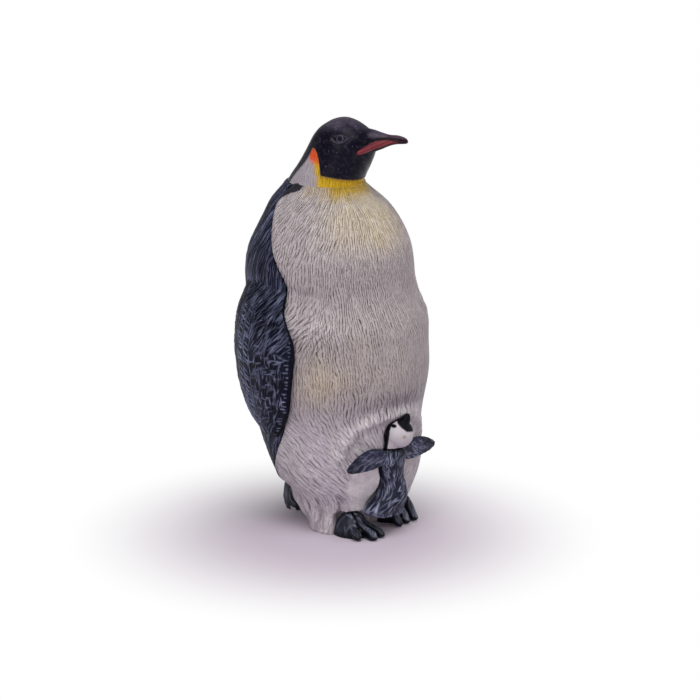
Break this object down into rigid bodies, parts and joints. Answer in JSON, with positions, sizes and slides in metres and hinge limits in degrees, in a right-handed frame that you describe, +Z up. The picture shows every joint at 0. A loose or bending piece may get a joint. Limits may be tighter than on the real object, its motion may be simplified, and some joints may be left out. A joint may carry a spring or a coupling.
{
  "type": "penguin figurine",
  "caption": "Standing emperor penguin figurine with a chick on its feet, moulded in pegged and cemented pieces with a sculpted feather texture; stands on its flat base.",
  "frame": {"origin": "on the surface it stands on, under the middle of the whole figure's box", "axes": "+Z up, the belly faces -Y, the figure's own left side is +X"},
  "size_m": [0.0448, 0.0434, 0.0884],
  "materials": {
    "breast_paint": "off-white matt paint with grey-lilac wash in the feather grooves and a yellow collar",
    "back_paint": "blue-black matt paint with dry-brushed slate strokes",
    "head_paint": "satin black paint with orange and yellow ear patches and a dusty red bill plate",
    "flipper_paint": "blue-black matt paint with dry-brushed slate strokes",
    "tail_paint": "blue-black matt paint with pale strokes",
    "foot_paint": "near-black satin paint with slate dry-brushing",
    "chick_paint": "slate-grey dry-brushing over black",
    "chick_face_paint": "white face paint with a black crown"
  },
  "bodies": {
    "root": {"breast_shell": "breast_paint", "back_shell": "back_paint", "head": "head_paint", "right_flipper": "flipper_paint", "left_flipper": "flipper_paint", "tail": "tail_paint", "right_foot": "foot_paint", "left_foot": "foot_paint", "chick_body": "chick_paint", "chick_head": "chick_face_paint", "chick_right_wing": "chick_paint", "chick_left_wing": "chick_paint"}
  },
  "joints": []
}
